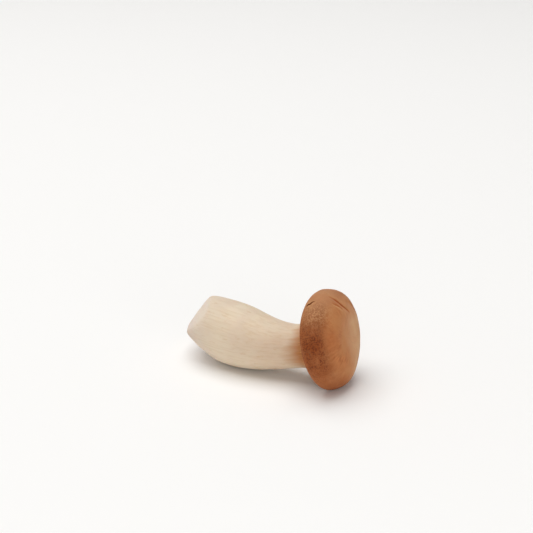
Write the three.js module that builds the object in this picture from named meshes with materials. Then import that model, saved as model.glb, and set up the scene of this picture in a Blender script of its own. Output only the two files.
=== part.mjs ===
// A king oyster mushroom lying on its side: a thick pale stem, trimmed by a knife to a blunt point
// at the foot, that narrows to a neck and opens into gills under a thick brown cap with a
// rolled-in rim. Millimetres, +Z up. Foot towards -X, cap towards +X. The origin is on the
// surface that it lies on, under the middle of its bounding box.
//
// It grew as one piece, so it is one closed mesh. Its surface is a profile (distance along the
// stem, radius) turned round a bent centreline, with gills, knife cuts, a crease and a hollow
// added by formula.

import * as THREE from 'three';

// Centreline: it bends from the foot tip to the neck, then runs straight through the cap.
const STEM_LENGTH = 80;
const FOOT_TIP = new THREE.Vector3(-50.8, 1.6, 17.1);
const NECK = new THREE.Vector3(28.5, -1.9, 21.5);
// Directions in degrees: heading seen from above, from +X towards +Y, and climb above level.
const FOOT_HEADING = -23.8;
const FOOT_CLIMB = 8.6;
const CAP_HEADING = 10.5;
const CAP_CLIMB = 15.7;

// Profile as [distance from the foot tip, radius], in four stretches that join end to end.
const STEM_PROFILE = [
  [0, 0], [0.5, 9], [3, 12.5], [9, 15.9], [18, 17.8], [28, 18.4],
  [39, 18.1], [51, 16.3], [64, 13.7], [74, 12.3], [82, 12.8],
];
const GILL_PROFILE = [[87.5, 15.4], [90.6, 19], [91.8, 22.3], [91, 24.8]];
const RIM_PROFILE = [[89.9, 26], [90.6, 27.5], [93.2, 28.2]];
const CROWN_PROFILE = [
  [97.8, 27.3], [101.7, 24.8], [104.6, 20.2], [106.3, 13.3], [106, 6], [105.7, 0],
];
const PROFILE = [...STEM_PROFILE, ...GILL_PROFILE, ...RIM_PROFILE, ...CROWN_PROFILE];

// Stations count the profile's points, so station 9 is the neck, 14 the inside of the rim.
const NECK_STATION = 9;
const RIM_STATION = 14;
const CROWN_STATION = PROFILE.length - 1;

// The cap isn't quite round, nor quite centred on the stem or square to it.
const CAP_BREADTH = 0.917; // sideways size over upright size
const CAP_RISE = 2.9; // how far the cap's middle sits above the stem's
const CAP_TILT_UP = 0.042; // lean along the stem for each mm of height
const CAP_TILT_SIDE = -0.066; // lean along the stem for each mm sideways
const CAP_THREE_SIDED = 0.033; // share of the radius
const STEM_OVAL = 0.017; // share of the radius
const STEM_OVAL_TURN = 15; // degrees round the stem

// Knife cuts that trim the foot: turn round the stem and angle to the centreline, in degrees,
// and how crisp the edge of the cut is. The first two were rubbed round in the harvest.
const CUTS = [
  { turn: 209, angle: 54, crispness: 6 },
  { turn: 318, angle: 61, crispness: 6 },
  { turn: 41, angle: 34.9, crispness: 14 },
  { turn: 155, angle: 31.2, crispness: 10 },
];
const CUT_START = 2.8; // the cut faces would meet this far beyond the tip

// Gills: ridges that run from the neck out to the rim.
const GILL_COUNT = 72;
const GILL_DEPTH = 0.95;

// A crease across the top of the crown, from and to [up, sideways] of the cap's axis.
const CREASE_FROM = [26, 2];
const CREASE_TO = [11, -8.5];
const CREASE_WIDTH = 1.4;
const CREASE_DEPTH = 0.8;

const DEGREE = Math.PI / 180;
const COARSE = GILL_COUNT;
const FINE = 2 * GILL_COUNT;

function direction(heading, climb) {
  const level = Math.cos(climb * DEGREE);
  return new THREE.Vector3(
    Math.cos(heading * DEGREE) * level,
    Math.sin(heading * DEGREE) * level,
    Math.sin(climb * DEGREE),
  );
}

const capAxis = direction(CAP_HEADING, CAP_CLIMB);
const profile = new THREE.SplineCurve(PROFILE.map(([along, radius]) => new THREE.Vector2(along, radius)));
const centreline = new THREE.CubicBezierCurve3(
  FOOT_TIP,
  FOOT_TIP.clone().addScaledVector(direction(FOOT_HEADING, FOOT_CLIMB), STEM_LENGTH / 3),
  NECK.clone().addScaledVector(capAxis, -STEM_LENGTH / 3),
  NECK,
);

// The plane across the centreline at a distance along it: its middle and its three directions.
function crossSection(along) {
  const share = THREE.MathUtils.clamp(along / STEM_LENGTH, 0, 1);
  const beyond = Math.max(along - STEM_LENGTH, 0);
  const middle = centreline.getPoint(share).addScaledVector(capAxis, beyond);
  const forward = centreline.getTangent(share);
  const up = new THREE.Vector3(0, 0, 1).addScaledVector(forward, -forward.z).normalize();
  const side = new THREE.Vector3().crossVectors(forward, up);
  return { middle, forward, up, side };
}

// The smaller of two radii, with the corner between them rounded off.
function softMinimum(first, second, crispness) {
  return (first ** -crispness + second ** -crispness) ** (-1 / crispness);
}

// What the knife cuts leave of a radius at a distance along the stem and a turn round it.
function trimmedRadius(radius, along, turn) {
  return CUTS.reduce((left, cut) => {
    const facing = Math.cos(turn - cut.turn * DEGREE);
    const depth = (along + CUT_START) * Math.tan(cut.angle * DEGREE);
    return facing > 0 ? softMinimum(left, depth / facing, cut.crispness) : left;
  }, Math.max(radius, 0));
}

// How deep the crease is at a place on the crown, [up, sideways] of the cap's axis.
function creaseDepth(up, sideways) {
  const run = [CREASE_TO[0] - CREASE_FROM[0], CREASE_TO[1] - CREASE_FROM[1]];
  const length = Math.hypot(...run);
  const offset = [up - CREASE_FROM[0], sideways - CREASE_FROM[1]];
  const share = (offset[0] * run[0] + offset[1] * run[1]) / length ** 2;
  const across = (offset[0] * run[1] - offset[1] * run[0]) / length;
  const fade = Math.sin(Math.PI * THREE.MathUtils.clamp(share, 0, 1));
  return CREASE_DEPTH * fade * Math.exp(-((across / CREASE_WIDTH) ** 2));
}

// How far the gills stand out at a station: none at the neck or inside the rim.
function gillHeight(station) {
  const rise = THREE.MathUtils.smoothstep(station, NECK_STATION + 0.6, NECK_STATION + 2);
  const fall = THREE.MathUtils.smoothstep(station, RIM_STATION - 0.8, RIM_STATION + 0.1);
  return (GILL_DEPTH / 2) * rise * (1 - fall);
}

// A point of the surface: station along the profile, turn round the centreline in radians from
// straight up, and wave, 1 on a gill's edge and -1 between two gills.
function surfacePoint(station, turn, wave) {
  const at = station / CROWN_STATION;
  const slope = profile.getTangent(at);
  const base = profile.getPoint(at);
  const lift = wave * gillHeight(station);
  const onCrown = station > RIM_STATION + 3;
  const dent = onCrown ? creaseDepth(base.y * Math.cos(turn), base.y * Math.sin(turn)) : 0;
  const along = base.x - lift * slope.y - dent;

  const cap = THREE.MathUtils.smoothstep(station, NECK_STATION + 1, RIM_STATION - 0.5);
  const oval = STEM_OVAL * Math.cos(2 * (turn - STEM_OVAL_TURN * DEGREE));
  const unevenness = (1 - cap) * oval - cap * CAP_THREE_SIDED * Math.cos(3 * turn);
  const radius = trimmedRadius(base.y + lift * slope.x, along, turn) * (1 + unevenness);

  const { middle, forward, up, side } = crossSection(along);
  const height = radius * Math.cos(turn);
  const sideways = radius * Math.sin(turn);
  const tilt = cap * (CAP_TILT_UP * height + CAP_TILT_SIDE * sideways);
  return middle
    .addScaledVector(up, height + cap * CAP_RISE)
    .addScaledVector(side, sideways * THREE.MathUtils.lerp(1, CAP_BREADTH, cap))
    .addScaledVector(forward, tilt);
}

function spread(from, to, count) {
  return Array.from({ length: count }, (_, i) => from + ((to - from) * i) / count);
}

// Rows of points from foot to crown: close together at the foot, the gills and the crease.
const rows = [
  ...spread(0.3, 3, 7).map((station) => ({ station, count: COARSE })),
  ...spread(3, 5, 9).map((station) => ({ station, count: COARSE })),
  ...spread(5, NECK_STATION + 0.6, 14).map((station) => ({ station, count: COARSE })),
  ...spread(NECK_STATION + 0.6, RIM_STATION, 13).map((station) => ({ station, count: FINE })),
  ...spread(RIM_STATION, RIM_STATION + 4, 10).map((station) => ({ station, count: COARSE })),
  ...spread(RIM_STATION + 4, CROWN_STATION, 13).map((station) => ({ station, count: COARSE })),
];

function ringPoints({ station, count }) {
  return Array.from({ length: count }, (_, i) => {
    const wave = count === FINE && i % 2 === 1 ? -1 : 1;
    return surfacePoint(station, (2 * Math.PI * i) / count, wave);
  });
}

// Triangles between two neighbouring rings, given as lists of vertex numbers, faces outwards.
// Where one ring has twice as many points, each of its second points joins the middle of a step.
function stitch(lower, upper) {
  const steps = Math.min(lower.length, upper.length);
  const next = (ring, i) => ring[i % ring.length];
  const triangles = [];
  for (let i = 0; i < steps; i += 1) {
    if (lower.length === upper.length) {
      triangles.push(lower[i], next(lower, i + 1), next(upper, i + 1));
      triangles.push(lower[i], next(upper, i + 1), upper[i]);
    } else if (lower.length < upper.length) {
      triangles.push(lower[i], next(lower, i + 1), upper[2 * i + 1]);
      triangles.push(lower[i], upper[2 * i + 1], upper[2 * i]);
      triangles.push(next(lower, i + 1), next(upper, 2 * i + 2), upper[2 * i + 1]);
    } else {
      triangles.push(lower[2 * i], lower[2 * i + 1], upper[i]);
      triangles.push(lower[2 * i + 1], next(upper, i + 1), upper[i]);
      triangles.push(lower[2 * i + 1], next(lower, 2 * i + 2), next(upper, i + 1));
    }
  }
  return triangles;
}

// Colours by station, from the photo: flesh, the tan between the gills and the cap's skin.
const FLESH = new THREE.Color('#dccab4');
const GILL_TAN = new THREE.Color('#b98c5e');
const CAP_BROWN = new THREE.Color('#8e552f');
const CROWN_BROWN = new THREE.Color('#a97247');

function colourAt(station) {
  const gills = THREE.MathUtils.smoothstep(station, NECK_STATION - 0.5, NECK_STATION + 2);
  const rim = THREE.MathUtils.smoothstep(station, RIM_STATION - 0.6, RIM_STATION + 0.6);
  const crown = THREE.MathUtils.smoothstep(station, RIM_STATION + 4, RIM_STATION + 6);
  return FLESH.clone().lerp(GILL_TAN, gills).lerp(CAP_BROWN, rim).lerp(CROWN_BROWN, crown);
}

function mushroomGeometry() {
  const points = [surfacePoint(0, 0, 1)];
  const colours = [colourAt(0)];
  const rings = rows.map((row) => {
    const first = points.length;
    points.push(...ringPoints(row));
    colours.push(...Array(row.count).fill(colourAt(row.station)));
    return Array.from({ length: row.count }, (_, i) => first + i);
  });
  const crown = points.length;
  points.push(surfacePoint(CROWN_STATION, 0, 1));
  colours.push(colourAt(CROWN_STATION));

  const triangles = rings.slice(1).flatMap((ring, i) => stitch(rings[i], ring));
  const last = rings[rings.length - 1];
  for (let i = 0; i < COARSE; i += 1) {
    const following = (i + 1) % COARSE;
    triangles.push(0, rings[0][following], rings[0][i]);
    triangles.push(last[i], last[following], crown);
  }

  // Soft flesh settles flat where it bears on the surface below, under the bulb and the rim.
  for (const point of points) {
    point.z = Math.max(point.z, 0);
  }
  const middle = new THREE.Box3().setFromPoints(points).getCenter(new THREE.Vector3());
  const geometry = new THREE.BufferGeometry().setFromPoints(points);
  const colourValues = colours.flatMap((colour) => colour.toArray());
  geometry.setAttribute('color', new THREE.Float32BufferAttribute(colourValues, 3));
  geometry.setIndex(triangles);
  geometry.translate(-middle.x, -middle.y, 0);
  geometry.computeVertexNormals();
  return geometry;
}

const skin = new THREE.MeshStandardMaterial({
  color: '#ffffff',
  vertexColors: true,
  roughness: 0.6,
  metalness: 0,
});

const mushroom = new THREE.Mesh(mushroomGeometry(), skin);
mushroom.name = 'mushroom';

const kingOyster = new THREE.Group();
kingOyster.add(mushroom);

export default kingOyster;
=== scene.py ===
# %% [markdown]
# A king oyster mushroom, lying on its side.
#
# The real thing grew as one body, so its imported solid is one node. Here that node is dressed with
# three surfaces, which meet where the eye sees a change of stuff: the pale stem, the brown cap
# and the gills between them. All three come from one formula, a profile turned round a bent
# centreline, so they fit each other and the solid without any fitting by hand.

import bpy
import numpy as np
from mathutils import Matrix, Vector


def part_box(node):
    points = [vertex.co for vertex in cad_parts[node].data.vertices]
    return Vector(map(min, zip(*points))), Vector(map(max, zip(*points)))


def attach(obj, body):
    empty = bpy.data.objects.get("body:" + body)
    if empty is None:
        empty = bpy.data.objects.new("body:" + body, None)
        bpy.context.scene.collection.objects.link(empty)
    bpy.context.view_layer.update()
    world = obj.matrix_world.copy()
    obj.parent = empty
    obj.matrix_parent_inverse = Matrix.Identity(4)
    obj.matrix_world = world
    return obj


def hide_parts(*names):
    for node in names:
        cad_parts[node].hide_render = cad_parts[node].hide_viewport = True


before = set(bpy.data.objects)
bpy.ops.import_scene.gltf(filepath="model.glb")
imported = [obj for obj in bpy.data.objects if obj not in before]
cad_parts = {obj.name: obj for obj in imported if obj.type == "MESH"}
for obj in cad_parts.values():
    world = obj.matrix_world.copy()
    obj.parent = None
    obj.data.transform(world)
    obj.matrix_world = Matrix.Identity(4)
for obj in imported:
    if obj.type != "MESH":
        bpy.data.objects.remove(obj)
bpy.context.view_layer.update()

MM = 0.001
box_low, box_high = (np.array(corner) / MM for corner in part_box("mushroom"))
print("solid's box in mm:", box_low.round(1), box_high.round(1))

# %% [markdown]
# The form. A mushroom can be sculpted, but a formula can be read and changed. The stem and the
# cap are solids of revolution at heart, so one profile says how wide the body is at each distance
# along it, and one curved centreline bends it. What isn't round changes that width from side to
# side: the oval stem, the lopsided cap and the flat faces that a knife left at the foot.

# %% Measures of the form, in millimetres and degrees
STEM_LENGTH = 80.0
FOOT_TIP = np.array([-50.8, 1.6, 17.1])
NECK = np.array([28.5, -1.9, 21.5])
FOOT_HEADING, FOOT_CLIMB = -23.8, 8.6
CAP_HEADING, CAP_CLIMB = 10.5, 15.7

STEM_PROFILE = [
    (0, 0), (0.5, 9), (3, 12.5), (9, 15.9), (18, 17.8), (28, 18.4),
    (39, 18.1), (51, 16.3), (64, 13.7), (74, 12.3), (82, 12.8),
]
GILL_PROFILE = [(87.5, 15.4), (90.6, 19), (91.8, 22.3), (91, 24.8)]
RIM_PROFILE = [(89.9, 26), (90.6, 27.5), (93.2, 28.2)]
CROWN_PROFILE = [(97.8, 27.3), (101.7, 24.8), (104.6, 20.2), (106.3, 13.3), (106, 6), (105.7, 0)]
PROFILE = np.array(STEM_PROFILE + GILL_PROFILE + RIM_PROFILE + CROWN_PROFILE, float)
NECK_STATION = 9
RIM_STATION = 14
CROWN_STATION = len(PROFILE) - 1

CAP_BREADTH = 0.917
CAP_RISE = 2.9
CAP_TILT_UP, CAP_TILT_SIDE = 0.042, -0.066
CAP_THREE_SIDED = 0.033
STEM_OVAL, STEM_OVAL_TURN = 0.017, 15
# Turn round the stem, angle to the centreline and crispness of each knife cut.
CUTS = [(209, 54, 6), (318, 61, 6), (41, 34.9, 14), (155, 31.2, 10)]
CUT_START = 2.8
print("profile:", len(PROFILE), "knots; knife cuts:", len(CUTS))

# %% Curves and steps
FINE_STATIONS = 3000
TINY = 1e-6  # in place of nought, where a division or a power can't take it


def direction(heading, climb):
    """Unit vector from a heading, from +X towards +Y, and a climb above level, in degrees."""
    heading, climb = np.radians([heading, climb])
    level = np.cos(climb)
    return np.array([np.cos(heading) * level, np.sin(heading) * level, np.sin(climb)])


def smooth_step(value, low, high):
    """0 below low, 1 above high, and the cubic 3t^2 - 2t^3 between them."""
    share = np.clip((value - low) / (high - low), 0, 1)
    return share * share * (3 - 2 * share)


def along_knots(knots, station):
    """Catmull-Rom curve: a cubic between two knots whose slope at each knot is half the step
    between the knots on either side of it. Gives the points and the unit slopes."""
    start = np.clip(np.floor(station).astype(int), 0, len(knots) - 2)
    share = (station - start)[..., None]
    padded = np.vstack([knots[:1], knots, knots[-1:]])
    before, here, after, beyond = (padded[start + i] for i in range(4))
    linear = (after - before) / 2
    square = before - 2.5 * here + 2 * after - beyond / 2
    cube = (beyond - before) / 2 + 1.5 * (here - after)
    point = here + share * (linear + share * (square + share * cube))
    slope = linear + share * (2 * square + 3 * share * cube)
    return point, slope / np.linalg.norm(slope, axis=-1, keepdims=True)


def even_stations(first, last, step):
    """Stations from first to last that are about step millimetres apart along the profile."""
    fine = np.linspace(first, last, FINE_STATIONS)
    point, _ = along_knots(PROFILE, fine)
    stretches = np.linalg.norm(np.diff(point, axis=0), axis=1)
    travelled = np.concatenate([[0], np.cumsum(stretches)])
    count = int(round(travelled[-1] / step))
    return np.interp(np.linspace(0, travelled[-1], count + 1), travelled, fine)


# %% The bent body
cap_axis = direction(CAP_HEADING, CAP_CLIMB)
bend = [
    FOOT_TIP,
    FOOT_TIP + direction(FOOT_HEADING, FOOT_CLIMB) * STEM_LENGTH / 3,
    NECK - cap_axis * STEM_LENGTH / 3,
    NECK,
]


def lay_out(along, radius, turn, cap):
    """Point on the bent body. The middle is on a cubic Bezier up to the neck and on a straight
    line beyond it. From there it goes up by the radius times the turn's cosine, and sideways by
    the radius times its sine. cap, 0 to 1, brings in the cap's own breadth, rise and tilt."""
    share = np.clip(along / STEM_LENGTH, 0, 1)[..., None]
    rest = 1 - share
    middle = rest**3 * bend[0] + share**3 * bend[3]
    middle += 3 * rest**2 * share * bend[1] + 3 * rest * share**2 * bend[2]
    middle += np.maximum(along - STEM_LENGTH, 0)[..., None] * cap_axis
    forward = rest**2 * (bend[1] - bend[0]) + share**2 * (bend[3] - bend[2])
    forward += 2 * rest * share * (bend[2] - bend[1])
    forward /= np.linalg.norm(forward, axis=-1, keepdims=True)
    up = np.array([0, 0, 1]) - forward[..., 2:] * forward
    up /= np.linalg.norm(up, axis=-1, keepdims=True)
    side = np.cross(forward, up)

    oval = STEM_OVAL * np.cos(2 * (turn - np.radians(STEM_OVAL_TURN)))
    radius = radius * (1 + (1 - cap) * oval - cap * CAP_THREE_SIDED * np.cos(3 * turn))
    height, sideways = radius * np.cos(turn), radius * np.sin(turn)
    tilt = cap * (CAP_TILT_UP * height + CAP_TILT_SIDE * sideways)
    sideways = sideways * (1 + (CAP_BREADTH - 1) * cap)
    height = height + cap * CAP_RISE
    return middle + height[..., None] * up + sideways[..., None] * side + tilt[..., None] * forward


def cap_share(station):
    """0 on the stem, 1 on the cap, and between them where the gills are."""
    return smooth_step(station, NECK_STATION + 1, RIM_STATION - 0.5)


def trimmed(radius, along, turn):
    """Radius that the knife leaves. Each cut is a plane through a point just beyond the tip; the
    smaller of plane and body is taken with a rounded corner, (a^-k + b^-k)^(-1/k)."""
    for cut_turn, angle, crispness in CUTS:
        facing = np.maximum(np.cos(turn - np.radians(cut_turn)), TINY)
        plane = (along + CUT_START) * np.tan(np.radians(angle)) / facing
        radius = (np.maximum(radius, TINY) ** -crispness + plane**-crispness) ** (-1 / crispness)
    return radius


def skin_point(station, lift=0.0):
    """(distance along, radius) of the skin, moved out along the profile's normal by lift."""
    point, slope = along_knots(PROFILE, station)
    return point[..., 0] - lift * slope[..., 1], point[..., 1] + lift * slope[..., 0]


# %% The middle of the box, found on the plain form
PLAIN_ROWS, PLAIN_COLUMNS = 600, 361
POLE_GAP = 0.02  # stations between a pole and the ring nearest to it

station, turn = np.meshgrid(
    np.linspace(POLE_GAP, CROWN_STATION, PLAIN_ROWS),
    np.linspace(0, 2 * np.pi, PLAIN_COLUMNS),
    indexing="ij",
)
along, radius = skin_point(station)
plain_form = lay_out(along, trimmed(radius, along, turn), turn, cap_share(station))
box_middle = (plain_form.min((0, 1)) + plain_form.max((0, 1))) / 2 * [1, 1, 0]
print("plain form's size in mm:", np.ptp(plain_form, axis=(0, 1)).round(2))


def settle(points):
    """Points in the frame: centred as the solid is, and kept inside its box, so that the flesh
    is pressed flat where it bears on the surface below."""
    return np.clip(points - box_middle, box_low, box_high)


# %% [markdown]
# Relief. Skin and flesh are never smooth: they have lumps, fibres, pits and cracks. Two kinds of
# randomness make them. Soft noise is a random landscape, good for lumps and, stretched along
# the stem, for fibres. Cell borders are the cracks between random cells, good for a skin that
# has dried into a net. Both read straightened coordinates, as if the mushroom stood upright and
# unbent, so that fibres follow the stem round its bend.

# %% Soft noise and cell borders
TABLE_SIZE = 4096
SCATTER_PRIMES = (73856093, 19349663, 83492791)
NOISE_GAIN = 1.6  # brings the noise to about -1 to 1


def table_key(cell):
    """Scatters a cube's whole-number corner over the table, by multiplying and mixing bits."""
    along_key, up_key, side_key = (cell[..., i] * SCATTER_PRIMES[i] for i in range(3))
    return (along_key ^ up_key ^ side_key) % TABLE_SIZE


def soft_noise(points, size, seed):
    """Gradient noise, about -1 to 1: each corner of a lattice size millimetres wide has a random
    slope, and the eight slopes round a point are blended by 6t^5 - 15t^4 + 10t^3. The size is one
    for every way, or one each for along, up and sideways."""
    slopes = np.random.default_rng(seed).normal(size=(TABLE_SIZE, 3))
    slopes /= np.linalg.norm(slopes, axis=1, keepdims=True)
    spots = points / size
    corner = np.floor(spots).astype(np.int64)
    share = spots - corner
    blend = share**3 * (share * (share * 6 - 15) + 10)
    total = np.zeros(points.shape[:-1])
    for offset in np.ndindex(2, 2, 2):
        weight = np.where(np.array(offset) == 1, blend, 1 - blend).prod(-1)
        total += weight * ((share - offset) * slopes[table_key(corner + offset)]).sum(-1)
    return NOISE_GAIN * total


def layered(points, layers):
    """Sum of soft noises, one for each layer's height, size and seed."""
    return sum(height * soft_noise(points, size, seed) for height, size, seed in layers)


def scattered(points, size, seeds):
    """Offsets in three ways, each a soft noise with its own seed."""
    return np.stack([soft_noise(points, size, seed) for seed in seeds], -1)


def cell_borders(points, size, seed):
    """Nearness to a border between random cells size millimetres wide: the distance to the
    second-nearest cell point less the distance to the nearest, in shares of the size."""
    jitter = np.random.default_rng(seed).uniform(0, 1, (TABLE_SIZE, 3))
    spots = points / size
    corner = np.floor(spots).astype(np.int64)
    nearest = np.full(points.shape[:-1], np.inf)
    second = nearest.copy()
    for offset in np.ndindex(3, 3, 3):
        cell = corner + offset - 1
        gap = np.linalg.norm(cell + jitter[table_key(cell)] - spots, axis=-1)
        second = np.minimum(second, np.maximum(nearest, gap))
        nearest = np.minimum(nearest, gap)
    return second - nearest


# %% Masks, which say where something is
def bell(distance, width):
    """1 where the distance is nought, falling off both ways as exp(-(distance / width)^2)."""
    return np.exp(-((distance / width) ** 2))


def at_least(least, share):
    """The share 0 to 1 pressed into least to 1: least + (1 - least) times the share."""
    return least + (1 - least) * share


def near_line(points, start, end, width):
    """A bell of the distance from the straight line from start to end, thinning to nothing at
    both ends as the square root of 4t(1 - t)."""
    start, end = np.array(start, float), np.array(end, float)
    run = end - start
    share = ((points - start) @ run) / (run @ run)
    foot = start + np.clip(share, 0, 1)[..., None] * run
    distance = np.linalg.norm(points - foot, axis=-1)
    taper = np.sqrt(np.clip(4 * share * (1 - share), 0, 1))
    return bell(distance, width) * taper


def angle_from_top(turn):
    """Angle from the top of the mushroom, whichever way round is shorter."""
    return np.minimum(turn, 2 * np.pi - turn)


# %% From a grid to a closed mesh
def normals_of(grid):
    """Unit normals of a ringed grid: the step round the ring crossed with the step between
    rings."""
    round_step = np.roll(grid, -1, 1) - np.roll(grid, 1, 1)
    normal = np.cross(round_step, np.gradient(grid, axis=0))
    return normal / np.maximum(np.linalg.norm(normal, axis=-1, keepdims=True), TINY)


def make_piece(name, points, faces, fields):
    """Mesh object from points in millimetres, faces and named values, one for each point."""
    mesh = bpy.data.meshes.new(name)
    mesh.from_pydata((points * MM).tolist(), [], faces)
    for field, values in fields.items():
        flat = values.astype(np.float32)
        kind, slot = ("FLOAT", "value") if flat.ndim == 1 else ("FLOAT_VECTOR", "vector")
        mesh.attributes.new(field, kind, "POINT").data.foreach_set(slot, flat.ravel())
    mesh.shade_smooth()
    piece = bpy.data.objects.new(name, mesh)
    bpy.context.scene.collection.objects.link(piece)
    triangles = sum(len(face) - 2 for face in faces)
    print(f"{name}: {len(points)} points, {triangles} triangles")
    return piece


def ringed_piece(name, rings, poles, fields):
    """Closed piece from rings of points and a pole at each end: four-sided faces between the
    rings and a fan of triangles round each pole. A pole's field is its ring's mean."""
    rows, columns = rings.shape[:2]
    points = np.vstack([poles[0], rings.reshape(-1, 3), poles[1]])
    ring = 1 + np.arange(rows * columns).reshape(rows, columns)
    following = np.roll(ring, -1, 1)
    sides = np.stack([ring[:-1], following[:-1], following[1:], ring[1:]], -1).reshape(-1, 4)
    first_fan = np.stack([np.zeros(columns, int), following[0], ring[0]], -1)
    last_fan = np.stack([ring[-1], following[-1], np.full(columns, rows * columns + 1)], -1)
    faces = sides.tolist() + first_fan.tolist() + last_fan.tolist()
    flat = {
        field: np.concatenate([values[:1].mean(1), values.reshape(-1, *values.shape[2:]),
                               values[-1:].mean(1)])
        for field, values in fields.items()
    }
    return make_piece(name, points, faces, flat)


# %% [markdown]
# The stem is the thick pale foot, the part that is mostly eaten. Its flesh is made of threads that
# run lengthwise, so its skin has fine ridges along it and only faint wrinkles across. At the foot a
# knife has left nearly flat faces. At the top it widens like a trumpet under the cap and carries
# the gills. It could be sculpted from a cylinder, but rings set out by the profile keep its
# outline true and its mesh even. This piece runs on as far as the inside of the rim, and closes
# out of sight in the cap's flesh.

# %% Stem: rings from the foot tip to the inside of the rim
STEM_STEP = 0.55
STEM_COLUMNS = 480
STEM_START, STEM_END = 0.15, RIM_STATION + 0.2
GILL_ROOT = 1.8  # how far the flesh between the gills lies below the solid's skin


def ring_grid(stations, columns):
    """Grids of stations and turns, one row for each ring."""
    turns = np.linspace(0, 2 * np.pi, columns, endpoint=False)
    return np.meshgrid(stations, turns, indexing="ij")


def straightened(along, radius, turn):
    """Place on the mushroom as if it stood unbent: the distance along, then the radius times the
    turn's cosine and its sine."""
    return np.stack([along, radius * np.cos(turn), radius * np.sin(turn)], -1)


def gill_bed(station):
    """How far the flesh is sunk to hold the gills: nothing on the stem, GILL_ROOT under the cap,
    and a smooth step between them."""
    return GILL_ROOT * smooth_step(station, NECK_STATION + 0.6, NECK_STATION + 2.2)


station, turn = ring_grid(even_stations(STEM_START, STEM_END, STEM_STEP), STEM_COLUMNS)
along, whole_radius = skin_point(station, -gill_bed(station))
radius = trimmed(whole_radius, along, turn)
stem_form = lay_out(along, radius, turn, cap_share(station))
upright = straightened(along, radius, turn)
print("stem: rings and columns:", station.shape)

# %% Stem: lumps, lengthwise threads and the knife's faces
# Height, size and seed of each layer of soft noise.
STEM_LUMPS = [(0.28, 19, 1), (0.09, 8, 2)]
STEM_THREADS = [(0.045, (34, 2.6, 2.6), 3), (0.03, (15, 1.1, 1.1), 4), (0.02, (1.5, 3.4, 3.4), 5)]
CUT_GRAIN = [(0.05, (5, 1.3, 1.3), 6), (0.13, 6.5, 7)]
LUMPS_ON_CUT = 0.3

cut = smooth_step(1 - radius / whole_radius, 0.03, 0.12)
skin = 1 - cut
relief = layered(upright, STEM_LUMPS) * at_least(LUMPS_ON_CUT, skin)
relief += skin * layered(upright, STEM_THREADS) + cut * layered(upright, CUT_GRAIN)
relief *= 1 - smooth_step(station, NECK_STATION + 1, NECK_STATION + 2)
stem_skin = stem_form + relief[..., None] * normals_of(stem_form)
print("stem relief in mm:", relief.min().round(2), "to", relief.max().round(2))

# %% Stem: where its flesh is tan, tinted or stained, and where shade is painted under the cap and on its lower side
TAN_AND_SHADE_TURN, TAN_AND_SHADE_SPREAD = np.radians([95, 50])  # the tan and the painted shade reach furthest on this side
TAN_AND_SHADE_LEAST = 0.25
TAN_AND_SHADE_DELAY = 1.3  # stations by which it falls short, times what side_tan_and_shade lacks of 1
TAN_AND_SHADE_THREADS = [(0.22, (9, 1.8, 1.8), 8)]
FAINT_TAN_AND_SHADE = 0.2
TIP_WEAR = [(1.1, 3.1, 9), (0.9, 1.3, 10)]

# Tan where the gills run down, deepened by painted shade where the cap hangs over the neck.
side_tan_and_shade = at_least(TAN_AND_SHADE_LEAST, bell(turn - TAN_AND_SHADE_TURN, TAN_AND_SHADE_SPREAD))
tan_and_shade_edge = station - TAN_AND_SHADE_DELAY * (1 - side_tan_and_shade) + layered(upright, TAN_AND_SHADE_THREADS)
neck_tan_and_shade = smooth_step(tan_and_shade_edge, NECK_STATION - 1.2, NECK_STATION + 1.0)
from_top = angle_from_top(turn)
# A faint tan with painted shade along the upper stem, less at its top.
faint_tan_and_shade = FAINT_TAN_AND_SHADE * smooth_step(along, 38, 72) * at_least(0.4, smooth_step(from_top, 0.2, 0.9))
neck_tan_and_shade = np.maximum(neck_tan_and_shade, faint_tan_and_shade)
# Pinker towards the foot, and darker on its lower side as painted shade.
foot_tint_and_shade = (1 - smooth_step(along, 5, 36)) * at_least(0.3, smooth_step(from_top, 0.5, 2.2))
tip_stain = 1 - smooth_step(along + layered(upright, TIP_WEAR), -0.9, 1.7)
print("share of the stem that is tan:", neck_tan_and_shade.mean().round(2))

# %% Stem: close it and name what the material needs to know
# Distance along and radius of the rings that close the stem inside the cap.
STEM_INSIDE = [(94, 25), (96, 12)]
STEM_POLE = 96.0
none = np.zeros(1)


def inner_rings(places, turns):
    """Round rings inside the cap, one for each (distance along, radius)."""
    inner_along, inner_radius = (
        np.repeat(np.array(values, float)[:, None], turns.size, 1) for values in zip(*places)
    )
    inner_turn = np.repeat(turns[None], len(places), 0)
    return lay_out(inner_along, inner_radius, inner_turn, np.ones_like(inner_along))


def cap_middle(distance):
    """Point on the cap's axis at a distance along."""
    return lay_out(none + distance, none, none, none + 1)[0]


def with_inside(values):
    """A field's rows with its last row repeated for each ring that closes the piece."""
    return np.concatenate([values, np.repeat(values[-1:], len(STEM_INSIDE), 0)])


foot_pole = lay_out(none, none, none, none)[0]
stem = ringed_piece(
    "stem",
    settle(np.concatenate([stem_skin, inner_rings(STEM_INSIDE, turn[0])])),
    [settle(foot_pole), settle(cap_middle(STEM_POLE))],
    {
        "upright": with_inside(upright * MM),
        # cut: paler cut flesh, partly a painted highlight.
        "cut": with_inside(cut),
        # under: tan with painted shade below the cap.
        "under": with_inside(neck_tan_and_shade),
        # foot: pinker flesh, with painted shade on its lower side.
        "foot": with_inside(foot_tint_and_shade),
        "tip": with_inside(tip_stain),
    },
)

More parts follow.
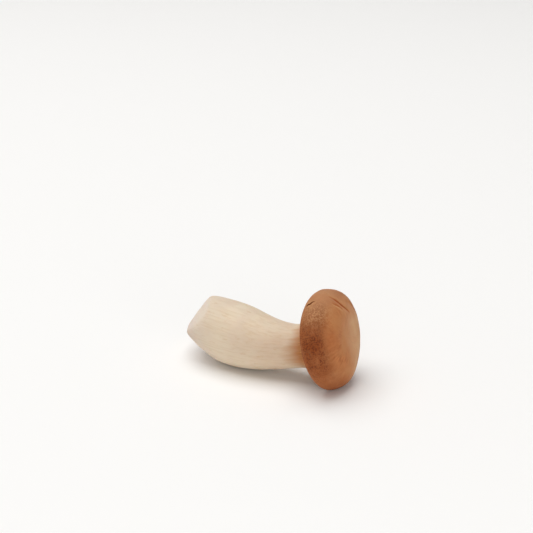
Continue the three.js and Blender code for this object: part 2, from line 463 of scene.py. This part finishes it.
# %% [markdown]
# The cap is the lid of the mushroom. It has a thick flank, a nearly flat crown with a shallow
# hollow, and a rim that still rolls inwards. Its skin is a thin dry brown layer. On the flank
# it is fibrous and speckled, and on the shoulder it has dried into a fine net. A long crease and a
# short one cross the crown where the cap grew faster than its skin, and a small crack has opened
# at the rim. A bump in the material could draw all these, but moved points hold in any light
# and any view, so the relief is in the mesh.

# %% Cap: rings from inside the cap, round the rim and up to the crown
CAP_STEP = 0.285
CAP_COLUMNS = 560
CAP_START, CAP_END = RIM_STATION + 0.1, CROWN_STATION - POLE_GAP

station, turn = ring_grid(even_stations(CAP_START, CAP_END, CAP_STEP), CAP_COLUMNS)
along, radius = skin_point(station)
upright = straightened(along, radius, turn)
crown_place = upright[..., 1:]
height_on_crown, far_on_crown = crown_place[..., 0], -crown_place[..., 1]
print("cap: rings and columns:", station.shape)

# %% Cap: the main crease, folded into the form
# Places on the crown are [up, sideways] of the cap's axis.
CREASE = ((26, 2), (11, -8.5))
CREASE_WIDTH, CREASE_DEPTH = 1.4, 0.8

crown = smooth_step(station, RIM_STATION + 4.8, RIM_STATION + 6.4)
flank = 1 - crown
on_crown = station > RIM_STATION + 3
run = np.subtract(CREASE[1], CREASE[0]).astype(float)
offset = crown_place - np.array(CREASE[0], float)
share = (offset @ run) / (run @ run)
across = (offset[..., 0] * run[1] - offset[..., 1] * run[0]) / np.linalg.norm(run)
fold = np.sin(np.pi * np.clip(share, 0, 1)) * bell(across, CREASE_WIDTH) * on_crown
cap_form = lay_out(along - CREASE_DEPTH * fold, radius, turn, np.ones_like(along))
print("crease: length in mm:", np.linalg.norm(run).round(1))

# %% Cap: crooked lines, and the lips beside them
# Places on the flank are [along, up, sideways].
SHORT_CREASE = ((22.8, 4.6), (16.2, -1.8))
CRACK = ((91.9, 24.5, 13.6), (95.7, 26.0, 10.1))
CREASE_LINE, SHORT_LINE, CRACK_LINE, SCAR_LINE = 0.55, 0.5, 0.5, 0.28
CREASE_LIP, SHORT_LIP, CRACK_LIP = 0.8, 0.7, 1.3
# How far up and sideways each lip is from its crease.
CREASE_LIP_ASIDE, SHORT_LIP_ASIDE = (0.7, -1.0), (-0.9, 0.9)
WANDER, WANDER_SIZE, WANDER_SEEDS = 0.7, 2.3, (131, 132, 133)
CROWN_WANDER = 0.6  # share of the wandering that the smoother crown has

# A line looked for at places that wander comes out crooked, as a tear is.
wander = WANDER * scattered(upright, WANDER_SIZE, WANDER_SEEDS)
crooked = upright + wander
crooked_crown = crown_place + CROWN_WANDER * wander[..., 1:]

crease_line = near_line(crooked_crown, *CREASE, CREASE_LINE) * on_crown
crease_lip = near_line(crooked_crown - CREASE_LIP_ASIDE, *CREASE, CREASE_LIP) * on_crown
short_line = near_line(crooked_crown, *SHORT_CREASE, SHORT_LINE) * on_crown
short_lip = near_line(crooked_crown - SHORT_LIP_ASIDE, *SHORT_CREASE, SHORT_LIP) * on_crown
crack_line = near_line(crooked, *CRACK, CRACK_LINE)
crack_lips = near_line(crooked, *CRACK, CRACK_LIP) - crack_line
print("points in the crack:", (crack_line > 0.5).sum())

# %% Cap: small scars round the rest of the rim
SCAR_COUNT = 11
SCAR_TURNS = (0.9, 2 * np.pi - 0.5)  # from past the crack nearly all the way round
SCAR_LEAN = 0.07
SCAR_STARTS, SCAR_LENGTHS = (91.5, 98), (1.6, 3.4)
SCAR_RADII = (27.6, 27.2)

chance = np.random.default_rng(12)
scars = np.zeros_like(along)
for _ in range(SCAR_COUNT):
    scar_turn = chance.uniform(*SCAR_TURNS)
    lean = chance.uniform(-SCAR_LEAN, SCAR_LEAN)
    start_along = chance.uniform(*SCAR_STARTS)
    length = chance.uniform(*SCAR_LENGTHS)
    start = straightened(start_along, SCAR_RADII[0], scar_turn)
    end = straightened(start_along + length, SCAR_RADII[1], scar_turn + lean)
    scars = np.maximum(scars, near_line(crooked, start, end, SCAR_LINE))
print("scars on the rim:", SCAR_COUNT)

# %% Cap: the net where the skin has dried, and the fibres
NET_CELL, NET_LINE = 1.15, 0.17  # width of a cell, and half a line's in shares of that
NET_MIDDLE, NET_REACH = (98.0, 20.5, 16.5), 8.0
NET_WARP, NET_WARP_SIZE, NET_WARP_SEEDS = 0.55, 1.3, (121, 122, 123)
FAINT_NET = 0.45
SPOKE_RADIUS, SPOKE_DRIFT = 16, 0.3  # fibres change fast with the turn, slowly with the radius
FIBRES = [(0.04, 0.9, 24), (0.02, 0.4, 25)]

faint_patches = smooth_step(soft_noise(upright, 15, 21), 0.1, 0.6)
net_patch = bell(np.linalg.norm(upright - NET_MIDDLE, axis=-1), NET_REACH)
net_patch = np.maximum(net_patch, FAINT_NET * flank * faint_patches)
warped = upright + NET_WARP * scattered(upright, NET_WARP_SIZE, NET_WARP_SEEDS)
net = bell(cell_borders(warped, NET_CELL, 23), NET_LINE) * net_patch
net *= smooth_step(soft_noise(upright, 2.2, 124), -0.7, 0.1)

spoke_up, spoke_aside = SPOKE_RADIUS * np.cos(turn), SPOKE_RADIUS * np.sin(turn)
spokes = np.stack([spoke_up, spoke_aside, SPOKE_DRIFT * radius], -1)
fibres = smooth_step(radius, 2, 14) * layered(spokes, FIBRES)
speckle = soft_noise(upright, (1.1, 0.7, 0.7), 26)
print("share of the cap that is net:", net_patch.mean().round(2))

# %% Cap: where it is darker, by its skin colour and by painted shade
PALER_AND_LIT_TOP_SPREAD = np.radians(42)
NEAR_TURN, NEAR_SPREAD = np.radians([80, 43])
BOUNCE_LIT_TURN, BOUNCE_LIT_SPREAD = np.radians([150, 48])
MOST_DARK = 0.9

crowding = soft_noise(upright, 6, 27)
paler_and_lit_top = bell(angle_from_top(turn), PALER_AND_LIT_TOP_SPREAD)
near_side_dark_and_shade = bell(turn - NEAR_TURN, NEAR_SPREAD)
bounce_lit_low_side = bell(turn - BOUNCE_LIT_TURN, BOUNCE_LIT_SPREAD)
# All round it is fairly dark, partly its own colour. It is less dark at the top, as painted light,
# and low on the near side, as painted light bounced from below.
dark = 0.55 * (1 - paler_and_lit_top) * (1 - 0.8 * bounce_lit_low_side)
dark *= 1 + 0.8 * soft_noise(upright, 16, 28) + 0.5 * crowding
# The near side is darkest, in small uneven patches: mottled skin with painted shade over it.
uneven = 0.5 * crowding + 0.7 * soft_noise(upright, 2.4, 30)
dark = np.maximum(dark, near_side_dark_and_shade * (0.5 + 0.45 * smooth_step(uneven, -0.9, 0.4)))
# It fades at the crown's edge and a little on the rim.
dark *= 1 - smooth_step(station + 0.2 * crowding, RIM_STATION + 4.5, RIM_STATION + 6.5)
dark *= at_least(0.6, smooth_step(station, RIM_STATION + 2.3, RIM_STATION + 2.9))
dark = np.clip(dark, 0, MOST_DARK)
print("mean darkness of the cap:", dark.mean().round(2))

# %% Cap: where it is paler, partly by painted light, and where it blushes
FAR_RING, FAR_RING_WIDTH = 20.4, 1.0
BLUSH_MIDDLE, BLUSH_REACH = (5, 17), 5.5

# Paler towards the far side of the crown, in streaks, and less pale along the groove of the far
# ring, as painted shade.
far_streaks = soft_noise(upright, (20, 6.5, 4.4), 29)
far_side = smooth_step(far_on_crown, -8, 9) * (1 - 0.6 * smooth_step(height_on_crown, 4, 13))
far_ring = bell(radius - FAR_RING, FAR_RING_WIDTH) * smooth_step(far_on_crown, 6, 14)
pale = crown * far_side * (0.66 + 0.25 * far_streaks) - 0.4 * far_ring
# Paler at the top of the flank, partly painted light, and a little painted bounce light low on the
# near side.
pale += flank * (0.3 * paler_and_lit_top + 0.05 * bounce_lit_low_side)
blush = bell(np.linalg.norm(crown_place - BLUSH_MIDDLE, axis=-1), BLUSH_REACH) * on_crown
print("mean paleness of the cap:", pale.mean().round(2))

# %% Cap: all its relief together
CAP_LUMPS = [(0.26, 17, 31), (0.10, 7, 32)]
# Height in millimetres of each feature; what is sunk has a height below nought.
features = [
    (0.055, flank * speckle), (0.07, flank * net), (-0.04, flank * net_patch),
    (-0.2, crease_line), (0.26, crease_lip), (-0.2, short_line), (0.2, short_lip),
    (-0.36, crack_line), (0.2, crack_lips), (-0.3, scars), (-0.22, far_ring),
]
relief = layered(upright, CAP_LUMPS) + fibres * at_least(0.5, crown)
relief += sum(height * mask for height, mask in features)
cap_skin = cap_form + relief[..., None] * normals_of(cap_form)
print("cap relief in mm:", relief.min().round(2), "to", relief.max().round(2))

# %% Cap: close it and name what the material needs to know
# Distance along and radius of the rings that close the cap above the gills.
CAP_INSIDE = [(98.5, 8), (97, 20), (94, 25.2), (92.2, 25.6)]
CAP_POLE = 98.5


def inside_first(values):
    """A field's rows with its first row repeated for each ring that closes the piece."""
    return np.concatenate([np.repeat(values[:1], len(CAP_INSIDE), 0), values])


cap = ringed_piece(
    "cap",
    settle(np.concatenate([inner_rings(CAP_INSIDE, turn[0]), cap_skin])),
    [settle(cap_middle(CAP_POLE)), settle(cap_middle(PROFILE[-1, 0]))],
    {
        "upright": inside_first(upright * MM),
        "spokes": inside_first(spokes * MM),
        "crown": inside_first(crown),
        "rolled": inside_first(1 - smooth_step(station, RIM_STATION + 0.3, RIM_STATION + 1.3)),
        "net": inside_first(0.75 * net),
        # dark holds skin colour and painted shade, and pale holds paler skin and painted light.
        "dark": inside_first(dark),
        "pale": inside_first(np.clip(pale, 0, 1)),
        "patch": inside_first(net_patch * flank),
        # lines holds painted shade in the creases and a blush, cracks painted shade in the crack and
        # scars, and lips paler raised lips with a painted highlight.
        "lines": inside_first(np.clip(crease_line + 0.7 * short_line + 0.3 * blush, 0, 1)),
        "cracks": inside_first(np.clip(2.6 * crack_line + 0.6 * scars, 0, 1)),
        "lips": inside_first(np.clip(0.5 * crease_lip + 0.8 * short_lip + 1.3 * crack_lips, 0, 1)),
    },
)

# %% [markdown]
# The gills are thin blades that hang under the cap and run down onto the neck. Each is a sheet of
# flesh about 0.3 mm thick. Grooves pressed into one surface would blur where they crowd, so each
# blade is its own small closed mesh: a narrow wedge, its root sunk in the flesh and its edge
# free. Long, middling and short blades take turns, as on the real one, so the gaps stay even
# while the ring widens.

# %% Gills: one rule for all blades
GILL_COUNT = 72
GILL_ROWS = 11
GILL_END = RIM_STATION + 0.02
# A grown edge stands above the solid's skin by both together. The second part grows in sooner.
GILL_RISE, GILL_EARLY_RISE = 0.75, 0.12
GILL_SINK = 0.5  # how far the roots reach below the flesh
GILL_HALF_THICKNESS = 0.15
GILL_WAVER, GILL_WAVES = 0.22, 5
# Each corner of a blade's section: share of its height, and share of its half thickness aside.
BLADE_SECTION = [(0, -1.0), (0.55, -0.8), (1, 0), (0.55, 0.8), (0, 1.0)]
BLADE_CORNERS = len(BLADE_SECTION)
BLADE_POINTS = GILL_ROWS * BLADE_CORNERS


def blades(turns, starts, seed):
    """Wedges along the profile, one for each turn. A blade's station runs from its start to the
    rim. It grows by a smooth step and shrinks by another at the rim, and it wavers sideways by a
    sine of its own phase."""
    chance = np.random.default_rng(seed)
    share = np.linspace(0, 1, GILL_ROWS)
    station = starts[:, None] + (GILL_END - starts[:, None]) * share
    grow = smooth_step(share, -0.02, 0.35) * (1 - 0.75 * smooth_step(share, 0.86, 1))
    bed = gill_bed(station)
    edge_lift = -bed + (bed + GILL_RISE * grow + GILL_EARLY_RISE) * grow
    root_lift = -bed - GILL_SINK
    phase = chance.uniform(0, 2 * np.pi, len(turns))[:, None]
    waver = GILL_WAVER * np.sin(GILL_WAVES * share + phase) * share
    rings = []
    for height, aside in BLADE_SECTION:
        along, radius = skin_point(station, root_lift + (edge_lift - root_lift) * height)
        turn = turns[:, None] + (waver + aside * GILL_HALF_THICKNESS) / radius
        rings.append(lay_out(along, radius, turn, cap_share(station)))
    return np.stack(rings, 2)


def blade_faces(count, first):
    """Faces of count closed blades: a strip along each side of the section, and a flat face at
    either end."""
    ring = np.arange(BLADE_POINTS).reshape(GILL_ROWS, BLADE_CORNERS)
    following = np.roll(ring, -1, 1)
    strips = np.stack([ring[:-1], following[:-1], following[1:], ring[1:]], -1).reshape(-1, 4)
    starts = (first + BLADE_POINTS * np.arange(count))[:, None, None]
    return (
        (strips + starts).reshape(-1, 4).tolist()
        + (ring[:1, ::-1] + starts).reshape(-1, BLADE_CORNERS).tolist()
        + (ring[-1:] + starts).reshape(-1, BLADE_CORNERS).tolist()
    )


# %% Gills: long, middling and short blades
# Share of the spacing by which each kind is turned, and stations beyond the neck where it starts.
GILL_KINDS = [(0, (0.05, 0.75)), (1 / 2, (1.2, 2.2)), (1 / 4, (2.6, 3.4)), (3 / 4, (2.6, 3.4))]
GILL_STRAY = 0.07  # share of the spacing by which a blade strays from its place
FIRST_GILL_SEED = 50

chance = np.random.default_rng(41)
spacing = 2 * np.pi / GILL_COUNT
even_turns = spacing * np.arange(GILL_COUNT)
kind_starts = [NECK_STATION + chance.uniform(*starts, GILL_COUNT) for _, starts in GILL_KINDS]
gill_points, gill_faces = [], []
for kind, (turned, _) in enumerate(GILL_KINDS):
    stray = chance.uniform(-GILL_STRAY, GILL_STRAY, GILL_COUNT)
    turns = even_turns + (turned + stray) * spacing
    gill_faces += blade_faces(GILL_COUNT, kind * GILL_COUNT * BLADE_POINTS)
    gill_points.append(blades(turns, kind_starts[kind], FIRST_GILL_SEED + kind).reshape(-1, 3))
section_heights = [height for height, _ in BLADE_SECTION]
gills = make_piece(
    "gills",
    settle(np.vstack(gill_points)),
    gill_faces,
    {"edge": np.tile(section_heights, len(GILL_KINDS) * GILL_COUNT * GILL_ROWS)},
)

# %% [markdown]
# Materials. One small function adds a node with its settings and links, so each material reads
# as a list of what it does. Colours are kept as hex values, as a paint chart gives them, and turned
# to the linear values that a renderer works in.

# %% Colour and node helpers
def linear(hex_colour):
    """Linear colour from sRGB hex: each channel c becomes ((c + 0.055) / 1.055)^2.4, or c / 12.92
    where it is very dark."""
    channels = np.array([int(hex_colour[i:i + 2], 16) for i in (1, 3, 5)]) / 255
    bright = ((channels + 0.055) / 1.055) ** 2.4
    return (*np.where(channels <= 0.04045, channels / 12.92, bright).tolist(), 1.0)


def add(tree, kind, inputs, **settings):
    """Adds a node, makes its settings, and fills its inputs with values or links."""
    node = tree.nodes.new(kind)
    for name, value in settings.items():
        setattr(node, name, value)
    for name, value in inputs.items():
        if isinstance(value, bpy.types.NodeSocket):
            tree.links.new(value, node.inputs[name])
        else:
            node.inputs[name].default_value = value
    return node


def new_material(name):
    """An empty node material, its tree and its surface output."""
    material = bpy.data.materials.new(name)
    material.use_nodes = True
    tree = material.node_tree
    tree.nodes.clear()
    return material, tree, add(tree, "ShaderNodeOutputMaterial", {})


FACTOR, COLOUR_A, COLOUR_B, MIXED = 0, 6, 7, 2  # sockets of a Mix node that mixes colours

# %% [markdown]
# Fresh flesh is white fibre full of water and air. Light goes a few millimetres into it and comes
# out warm, so it looks soft and has no hard shadows. Its surface is dry and dull. One pale colour
# would look like wax, so threads, clouds and flecks are mixed over it. Where it was touched it has
# yellow flecks. It turns tan towards the gills, with painted shade under the cap, and a little
# pinker at the foot, with painted shade on its lower side. The cut faces are paler, partly as a
# painted highlight, and the tip has a brownish stain.

# %% Material: fresh mushroom flesh, grown in lengthwise threads
flesh, tree, out = new_material("fresh_flesh")
upright_place = add(tree, "ShaderNodeAttribute", {}, attribute_name="upright").outputs["Vector"]
# A single thread is about a tenth of a millimetre thick, too fine to show. So bundles are drawn,
# 1.1 mm wide and 22 mm long, with finer ones in them.
stretched = add(tree, "ShaderNodeMapping", {"Vector": upright_place, "Scale": (45, 900, 900)})
threads_noise = add(
    tree, "ShaderNodeTexNoise", {"Vector": stretched.outputs[0], "Scale": 1.0, "Detail": 4.0}
).outputs["Fac"]
# Clouds 13 mm wide.
broad_noise = add(
    tree, "ShaderNodeTexNoise", {"Vector": upright_place, "Scale": 75.0, "Detail": 2.0}
).outputs["Fac"]
# Flecks 1.5 mm wide and 5 mm long at most.
fleck_place = add(tree, "ShaderNodeMapping", {"Vector": upright_place, "Scale": (190, 650, 650)})
fleck_noise = add(
    tree, "ShaderNodeTexNoise", {"Vector": fleck_place.outputs[0], "Scale": 1.0, "Detail": 3.0}
).outputs["Fac"]

# %% Flesh: its pale colour, streaks and flecks
broad = add(
    tree, "ShaderNodeMapRange", {"Value": broad_noise, "From Min": 0.38, "From Max": 0.66}
).outputs[0]
flesh_colour = add(
    tree, "ShaderNodeMix",
    {FACTOR: broad, COLOUR_A: linear("#E2D1B9"), COLOUR_B: linear("#DDC9B2")},
    data_type="RGBA",
).outputs[MIXED]
streak = add(
    tree, "ShaderNodeMapRange",
    {"Value": threads_noise, "From Min": 0.48, "From Max": 0.78, "To Max": 0.5},
).outputs[0]
flesh_colour = add(
    tree, "ShaderNodeMix",
    {FACTOR: streak, COLOUR_A: flesh_colour, COLOUR_B: linear("#CDB28E")},
    data_type="RGBA",
).outputs[MIXED]
fleck = add(
    tree, "ShaderNodeMapRange",
    {"Value": fleck_noise, "From Min": 0.6, "From Max": 0.72, "To Max": 0.33},
).outputs[0]
flesh_colour = add(
    tree, "ShaderNodeMix",
    {FACTOR: fleck, COLOUR_A: flesh_colour, COLOUR_B: linear("#CBA775")},
    data_type="RGBA",
).outputs[MIXED]

# %% Flesh: foot with painted shade below, cut faces partly a painted highlight, tan neck with painted shade, and stained tip, each where the mesh says
for field, most, colour in (
    ("foot", 0.8, "#CAB8B0"), ("cut", 0.3, "#ECDFD3"),
    ("under", 1.0, "#B67742"), ("tip", 0.55, "#B98468"),
):
    part = add(tree, "ShaderNodeAttribute", {}, attribute_name=field).outputs["Fac"]
    amount = add(tree, "ShaderNodeMapRange", {"Value": part, "To Max": most}).outputs[0]
    flesh_colour = add(
        tree, "ShaderNodeMix",
        {FACTOR: amount, COLOUR_A: flesh_colour, COLOUR_B: linear(colour)},
        data_type="RGBA",
    ).outputs[MIXED]

# %% Flesh: how it takes the light
fine_bump = add(
    tree, "ShaderNodeBump", {"Height": threads_noise, "Strength": 0.5, "Distance": 0.0003}
)
shader = add(
    tree, "ShaderNodeBsdfPrincipled",
    {
        "Base Color": flesh_colour, "Normal": fine_bump.outputs[0], "Roughness": 0.62,
        "IOR": 1.4, "Specular IOR Level": 0.35,
        "Subsurface Weight": 0.35, "Subsurface Radius": (1.0, 0.6, 0.4), "Subsurface Scale": 0.0025,
    },
)
tree.links.new(shader.outputs[0], out.inputs["Surface"])
print("material:", flesh.name)

# %% [markdown]
# Cap skin is a layer of dry brown threads packed flat over the white flesh. It has the dull gloss of
# suede or of a potato's skin. It is darkest and most speckled on the flank, paler where it has
# dried into a net and white flesh shows through, and smooth on the crown, where faint fibres
# run out from the middle. Painted shade deepens part of the flank's dark, and painted light
# brightens its top and its low side.

# %% Material: dry mushroom cap skin, pressed flat and speckled
skin_material, tree, out = new_material("dry_cap_skin")
upright_place = add(tree, "ShaderNodeAttribute", {}, attribute_name="upright").outputs["Vector"]
spoke_place = add(tree, "ShaderNodeAttribute", {}, attribute_name="spokes").outputs["Vector"]
crown_part = add(tree, "ShaderNodeAttribute", {}, attribute_name="crown").outputs["Fac"]
# Specks are 0.7 mm wide and blotches 9 mm. Fibres are drawn 1.1 mm wide, with finer ones in them,
# because the skin's own are too fine to show.
fibre_noise = add(
    tree, "ShaderNodeTexNoise", {"Vector": spoke_place, "Scale": 900.0, "Detail": 4.0}
).outputs["Fac"]
speck_noise = add(
    tree, "ShaderNodeTexNoise", {"Vector": upright_place, "Scale": 1400.0, "Detail": 2.0}
).outputs["Fac"]
blotch_noise = add(
    tree, "ShaderNodeTexNoise", {"Vector": upright_place, "Scale": 110.0, "Detail": 3.0}
).outputs["Fac"]

# %% Cap skin: the flank's colour, its dark parts of skin colour and painted shade, and its specks
blotch = add(
    tree, "ShaderNodeMapRange", {"Value": blotch_noise, "From Min": 0.36, "From Max": 0.66}
).outputs[0]
flank_colour = add(
    tree, "ShaderNodeMix",
    {FACTOR: blotch, COLOUR_A: linear("#A25C2F"), COLOUR_B: linear("#B57345")},
    data_type="RGBA",
).outputs[MIXED]
dark_skin_and_shade_part = add(tree, "ShaderNodeAttribute", {}, attribute_name="dark").outputs["Fac"]
flank_colour = add(
    tree, "ShaderNodeMix",
    {FACTOR: dark_skin_and_shade_part, COLOUR_A: flank_colour, COLOUR_B: linear("#894014")},
    data_type="RGBA",
).outputs[MIXED]
speck = add(
    tree, "ShaderNodeMapRange",
    {"Value": speck_noise, "From Min": 0.46, "From Max": 0.62, "To Max": dark_skin_and_shade_part},
).outputs[0]
flank_colour = add(
    tree, "ShaderNodeMix",
    {FACTOR: speck, COLOUR_A: flank_colour, COLOUR_B: linear("#5A250C")},
    data_type="RGBA",
).outputs[MIXED]
patch_part = add(tree, "ShaderNodeAttribute", {}, attribute_name="patch").outputs["Fac"]
flank_colour = add(
    tree, "ShaderNodeMix",
    {FACTOR: patch_part, COLOUR_A: flank_colour, COLOUR_B: linear("#8A4C24")},
    data_type="RGBA",
).outputs[MIXED]

# %% Cap skin: the crown's colour and fibres
fibre = add(
    tree, "ShaderNodeMapRange", {"Value": fibre_noise, "From Min": 0.35, "From Max": 0.7}
).outputs[0]
crown_colour = add(
    tree, "ShaderNodeMix",
    {FACTOR: fibre, COLOUR_A: linear("#C27C4A"), COLOUR_B: linear("#A66238")},
    data_type="RGBA",
).outputs[MIXED]
crown_colour = add(
    tree, "ShaderNodeMix",
    {FACTOR: blotch, COLOUR_A: crown_colour, COLOUR_B: linear("#BE7F4E")},
    data_type="RGBA",
).outputs[MIXED]
cap_colour = add(
    tree, "ShaderNodeMix",
    {FACTOR: crown_part, COLOUR_A: flank_colour, COLOUR_B: crown_colour},
    data_type="RGBA",
).outputs[MIXED]

# %% Cap skin: pale parts, net, lips, lines, cracks and rolled rim, each where the mesh says. Pale parts are partly painted light, lips partly a painted highlight, and lines and cracks painted shade in the creases, crack and scars
for field, colour in (
    ("pale", "#D4AC84"), ("net", "#CE9A6B"), ("lips", "#CC9766"),
    ("lines", "#A64D20"), ("cracks", "#5A240C"), ("rolled", "#71391A"),
):
    part = add(tree, "ShaderNodeAttribute", {}, attribute_name=field).outputs["Fac"]
    cap_colour = add(
        tree, "ShaderNodeMix",
        {FACTOR: part, COLOUR_A: cap_colour, COLOUR_B: linear(colour)},
        data_type="RGBA",
    ).outputs[MIXED]

# %% Cap skin: how it takes the light
grain_bump = add(
    tree, "ShaderNodeBump", {"Height": speck_noise, "Strength": 0.3, "Distance": 0.00025}
)
# The inside of a crack is too rough to reflect.
crack_part = add(tree, "ShaderNodeAttribute", {}, attribute_name="cracks").outputs["Fac"]
sheen = add(
    tree, "ShaderNodeMapRange", {"Value": crack_part, "To Min": 0.18, "To Max": 0.0}
).outputs[0]
shader = add(
    tree, "ShaderNodeBsdfPrincipled",
    {
        "Base Color": cap_colour, "Normal": grain_bump.outputs[0], "Roughness": 0.62,
        "IOR": 1.42, "Specular IOR Level": sheen,
        "Subsurface Weight": 0.12, "Subsurface Radius": (1.0, 0.45, 0.25),
        "Subsurface Scale": 0.0015,
    },
)
tree.links.new(shader.outputs[0], out.inputs["Surface"])
print("material:", skin_material.name)

# %% [markdown]
# A gill is flesh in a sheet so thin that light passes through it. The free edge is pale, and the
# colour deepens to orange-brown towards the root, where spores and shade collect. Light spread
# inside so thin a blade would lose its red and look green, so only a little is spread.

# %% Material: gill flesh, grown in thin sheets
gill_material, tree, out = new_material("thin_gill_flesh")
edge_part = add(tree, "ShaderNodeAttribute", {}, attribute_name="edge").outputs["Fac"]
gill_colour = add(
    tree, "ShaderNodeMix",
    {FACTOR: edge_part, COLOUR_A: linear("#A25A28"), COLOUR_B: linear("#E0A468")},
    data_type="RGBA",
).outputs[MIXED]
shader = add(
    tree, "ShaderNodeBsdfPrincipled",
    {
        "Base Color": gill_colour, "Roughness": 0.7, "IOR": 1.4, "Specular IOR Level": 0.15,
        "Subsurface Weight": 0.08, "Subsurface Radius": (1.0, 0.6, 0.35),
        "Subsurface Scale": 0.0002,
    },
)
tree.links.new(shader.outputs[0], out.inputs["Surface"])
print("material:", gill_material.name)

# %% Dress the node: every piece stands for it and rides on its body
for piece, material, slot in (
    (stem, flesh, "flesh"), (cap, skin_material, "cap_skin"), (gills, gill_material, "gills"),
):
    piece.data.materials.append(material)
    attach(piece, "root")
    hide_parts("mushroom")
    print(piece.name, "stands for the mushroom in the slot", slot)

# %% [markdown]
# The stage is plain pale paper in even white light, as in a catalogue picture: a wide soft lamp
# overhead, a broad fill near the camera, a small low one beside the cap, and a white sky that
# keeps the shadows open. The paper is flat under the mushroom and curves up all round, so no
# view meets its edge.

# %% Floor and backdrop, one sheet, in metres
PAPER_FLAT, PAPER_EDGE, PAPER_HEIGHT = 2.2, 4.0, 1.1
PAPER_ROWS, PAPER_COLUMNS = 13, 96

# The paper rises as the square of the distance past its flat part.
paper_radius = np.linspace(PAPER_FLAT, PAPER_EDGE, PAPER_ROWS)[:, None]
paper_climb = ((paper_radius - PAPER_FLAT) / (PAPER_EDGE - PAPER_FLAT)) ** 2
paper_turn = np.linspace(0, 2 * np.pi, PAPER_COLUMNS, endpoint=False)
paper_points = np.stack(np.broadcast_arrays(
    paper_radius * np.cos(paper_turn),
    paper_radius * np.sin(paper_turn),
    PAPER_HEIGHT * paper_climb,
), -1)
ring = np.arange(paper_points[..., 0].size).reshape(-1, PAPER_COLUMNS)
following = np.roll(ring, -1, 1)
paper_faces = np.stack([ring[:-1], ring[1:], following[1:], following[:-1]], -1).reshape(-1, 4)
floor_mesh = bpy.data.meshes.new("floor")
floor_mesh.from_pydata(
    paper_points.reshape(-1, 3).tolist(), [], [ring[0].tolist()] + paper_faces.tolist()
)
floor_mesh.shade_smooth()
floor = bpy.data.objects.new("floor", floor_mesh)
bpy.context.scene.collection.objects.link(floor)
print("floor:", len(paper_faces) + 1, "faces")

# %% Material: plain white studio paper, which is matt and has no pattern that shows
paper, tree, out = new_material("white_studio_paper")
shader = add(
    tree, "ShaderNodeBsdfPrincipled",
    {"Base Color": linear("#FBFAF8"), "Roughness": 0.9, "Specular IOR Level": 0.1},
)
tree.links.new(shader.outputs[0], out.inputs["Surface"])
floor_mesh.materials.append(paper)

# %% Lights
def soft_lamp(name, place, target, size, watts):
    """White square lamp at place, in metres, turned to face target."""
    data = bpy.data.lights.new(name, "AREA")
    data.shape = "SQUARE"
    data.size = size
    data.energy = watts
    lamp = bpy.data.objects.new(name, data)
    lamp.location = place
    lamp.rotation_euler = (Vector(target) - Vector(place)).to_track_quat("-Z", "Y").to_euler()
    bpy.context.scene.collection.objects.link(lamp)
    print(name, "lamp:", watts, "watts")


soft_lamp("overhead", place=(-0.6, -0.1, 3.0), target=(0, 0, 0.02), size=3.0, watts=78.0)
soft_lamp("front_fill", place=(1.0, -1.8, 1.0), target=(0, 0, 0.02), size=1.4, watts=4.4)
soft_lamp("low_fill", place=(0.9, -0.5, 0.2), target=(0.04, 0, 0.02), size=0.4, watts=0.9)
world = bpy.data.worlds.new("white_sky")
world.use_nodes = True
world.node_tree.nodes["Background"].inputs["Color"].default_value = linear("#FFFFFF")
world.node_tree.nodes["Background"].inputs["Strength"].default_value = 0.31
bpy.context.scene.world = world
bpy.context.scene.view_settings.view_transform = "Standard"

# %% Camera, where the photograph was taken from
CAMERA_AZIMUTH, CAMERA_ELEVATION = np.radians([33.54, 21.97])
CAMERA_DISTANCE = 0.70
CAMERA_AIM = Vector((0.00107, -0.00473, 0.06447))
back = Vector((
    np.sin(CAMERA_AZIMUTH) * np.cos(CAMERA_ELEVATION),
    -np.cos(CAMERA_AZIMUTH) * np.cos(CAMERA_ELEVATION),
    np.sin(CAMERA_ELEVATION),
))
camera_data = bpy.data.cameras.new("camera")
camera_data.lens = 85
camera_data.sensor_width = 36
camera = bpy.data.objects.new("camera", camera_data)
camera.location = CAMERA_AIM + back * CAMERA_DISTANCE
camera.rotation_euler = (-back).to_track_quat("-Z", "Y").to_euler()
bpy.context.scene.collection.objects.link(camera)
bpy.context.scene.camera = camera
print("camera at", [round(value, 3) for value in camera.location])
